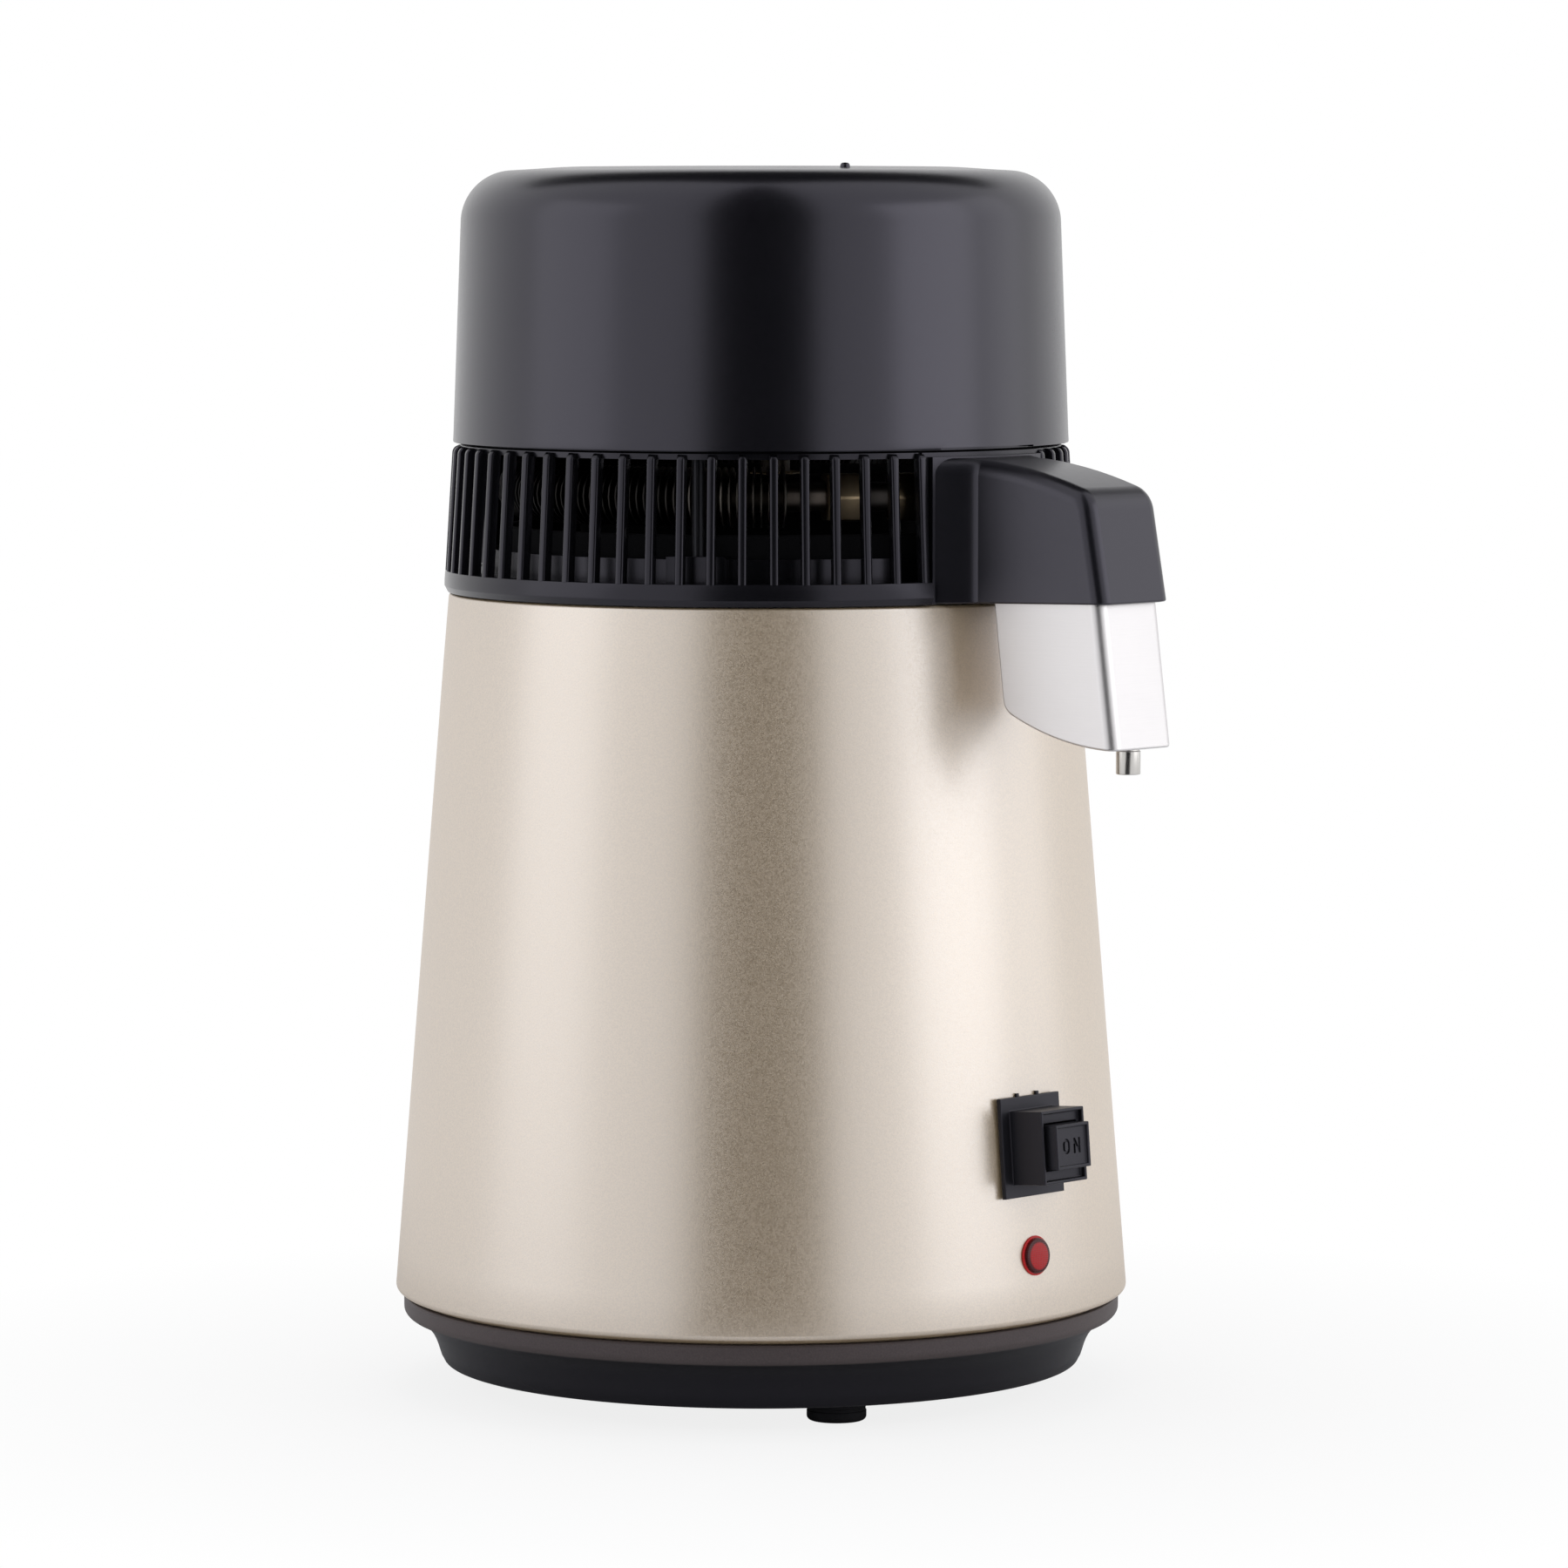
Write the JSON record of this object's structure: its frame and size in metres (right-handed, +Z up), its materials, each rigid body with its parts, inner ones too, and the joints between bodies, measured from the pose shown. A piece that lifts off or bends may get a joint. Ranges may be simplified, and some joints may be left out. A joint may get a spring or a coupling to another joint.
{
  "type": "countertop water distiller",
  "caption": "Countertop water distiller: painted conical boiler housing, lift-off fan head with slotted ring and finned condenser, spout with steel filter cup, push switch and red lamp.",
  "frame": {"origin": "middle of the footprint on the worktop, midway between the cup front and the housing rear", "axes": "+Z up, -Y the front with spout, switch and lamp, +X to the right when seen from the front"},
  "size_m": [0.226, 0.2662, 0.3761],
  "materials": {
    "champagne_paint": "satin metallic",
    "cap_plastic": "satin",
    "ring_plastic": "satin",
    "base_plastic": "matt",
    "switch_plastic": "matt",
    "socket_plastic": "gloss",
    "cream_plastic": "matt",
    "red_lens": "translucent gloss",
    "stainless": "brushed",
    "zinc_steel": "plated",
    "aluminium": "plain",
    "brass": "plain",
    "element_steel": "oxidised",
    "copper_winding": "enamelled",
    "wire_jacket": "matt",
    "foot_rubber": "matt",
    "seal_silicone": "matt",
    "black_felt": "matt"
  },
  "bodies": {
    "boiler_base": {"base_pan": "base_plastic", "rubber_feet": "foot_rubber", "foot_screws": "zinc_steel", "outer_housing": "champagne_paint", "boiling_tank": "stainless", "tank_studs": "zinc_steel", "stud_nuts": "zinc_steel", "heat_spreader": "aluminium", "heating_element": "element_steel", "element_terminals": "brass", "thermal_cutout": "aluminium", "heat_shield": "aluminium", "shield_spacers": "zinc_steel", "switch_housing": "switch_plastic", "switch_block": "cream_plastic", "switch_terminals": "brass", "return_spring": "zinc_steel", "lamp_lens": "red_lens", "lamp_holder": "socket_plastic", "lamp_nut": "cream_plastic", "mains_inlet": "socket_plastic", "inlet_pins": "zinc_steel", "fan_socket": "socket_plastic", "socket_pins": "zinc_steel", "wiring_loom": "wire_jacket"},
    "push_button": {"on_button": "switch_plastic"},
    "fan_head": {"steam_cover": "stainless", "cover_gasket": "seal_silicone", "head_floor": "ring_plastic", "slotted_ring": "ring_plastic", "spout_hood": "cap_plastic", "hood_screws": "zinc_steel", "fan_cap": "cap_plastic", "finger_guard": "ring_plastic", "fan_frame": "cap_plastic", "fan_motor": "copper_winding", "fan_bearings": "zinc_steel", "fan_screws": "zinc_steel", "tie_rods": "element_steel", "rod_nuts": "zinc_steel", "condenser_tube": "stainless", "condenser_fins": "aluminium", "union_nuts": "brass", "outlet_tube": "stainless", "steam_riser": "stainless", "felt_pad": "black_felt", "cord_gland": "foot_rubber"},
    "fan_rotor": {"fan_impeller": "cap_plastic", "fan_shaft": "zinc_steel"},
    "spout_cup": {"filter_cup": "stainless", "drip_nozzle": "stainless"}
  },
  "joints": [
    {"name": "head_lift", "type": "slide", "parent": "boiler_base", "child": "fan_head", "axis": [0, 0, 1], "range_m": [0, 0.15]},
    {"name": "fan_spin", "type": "hinge", "parent": "fan_head", "child": "fan_rotor", "pos_m": [0, 0.02011, 0.345], "axis": [0, 0, 1], "continuous": true},
    {"name": "cup_drop", "type": "slide", "parent": "fan_head", "child": "spout_cup", "axis": [0, 0, -1], "range_m": [0, 0.05]},
    {"name": "button_press", "type": "slide", "parent": "boiler_base", "child": "push_button", "axis": [0, 0.9968, -0.0794], "range_m": [0, 0.003], "stiffness_N_per_m": 800, "springref_m": -0.001, "deforming": ["return_spring"]}
  ]
}
